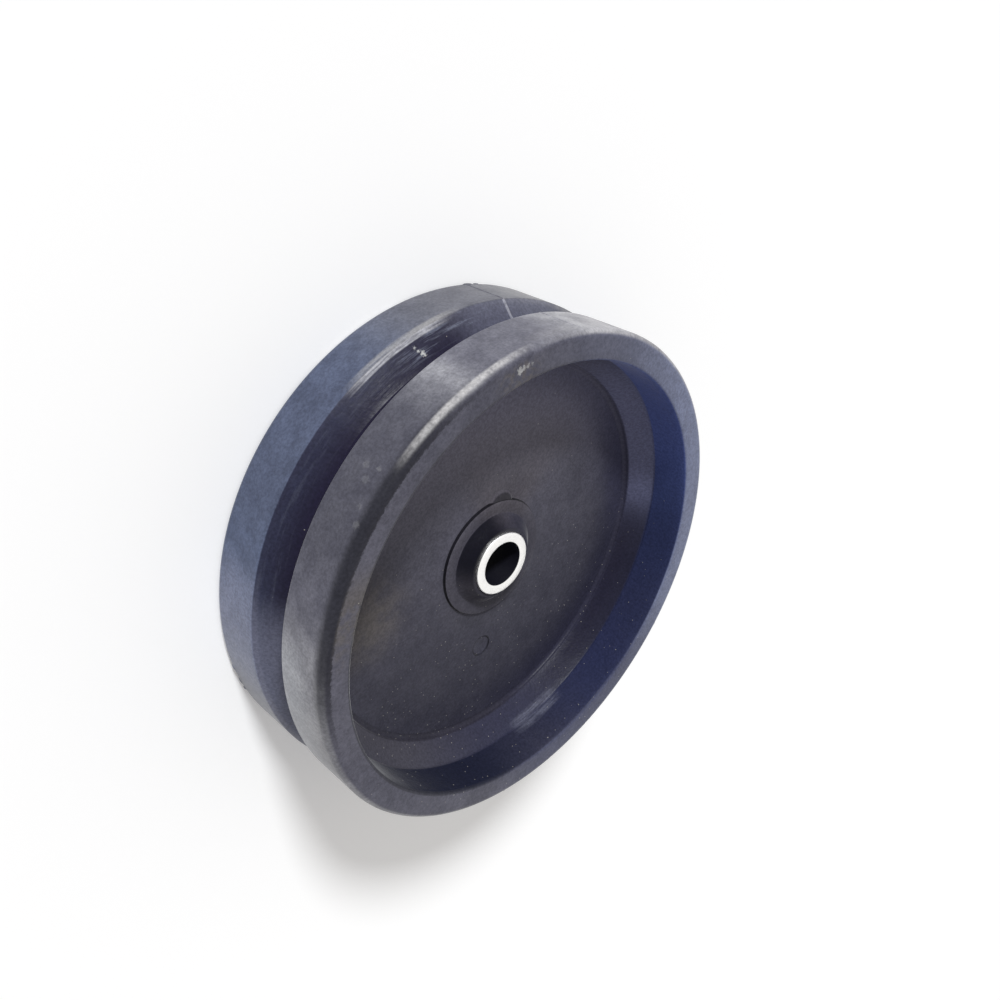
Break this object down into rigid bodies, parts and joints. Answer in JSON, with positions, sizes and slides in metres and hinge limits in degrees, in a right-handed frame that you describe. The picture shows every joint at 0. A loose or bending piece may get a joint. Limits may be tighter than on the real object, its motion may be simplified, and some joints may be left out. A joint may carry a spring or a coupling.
{
  "type": "v groove wheel",
  "caption": "Moulded plastic wheel with a V groove round its tread, dished sides and a thin web, turning on a short steel axle sleeve.",
  "frame": {"origin": "centre of the wheel: on the axis, half way between the two side faces", "axes": "+Z along the axle, out of the front side that shows the gate mark; the wheel lies on its rear side face"},
  "size_m": [0.075, 0.075, 0.0234],
  "materials": {
    "wheel_plastic": "charcoal moulded plastic with a faint blue cast, dusty and lightly rubbed",
    "sleeve_steel": "bright sawn and deburred tube ends"
  },
  "bodies": {
    "sleeve": {"axle_sleeve": "sleeve_steel"},
    "wheel": {"moulded_wheel": "wheel_plastic"}
  },
  "joints": [
    {"name": "wheel_spin", "type": "hinge", "parent": "sleeve", "child": "wheel", "pos_m": [0, 0, 0], "axis": [0, 0, 1], "continuous": true}
  ]
}
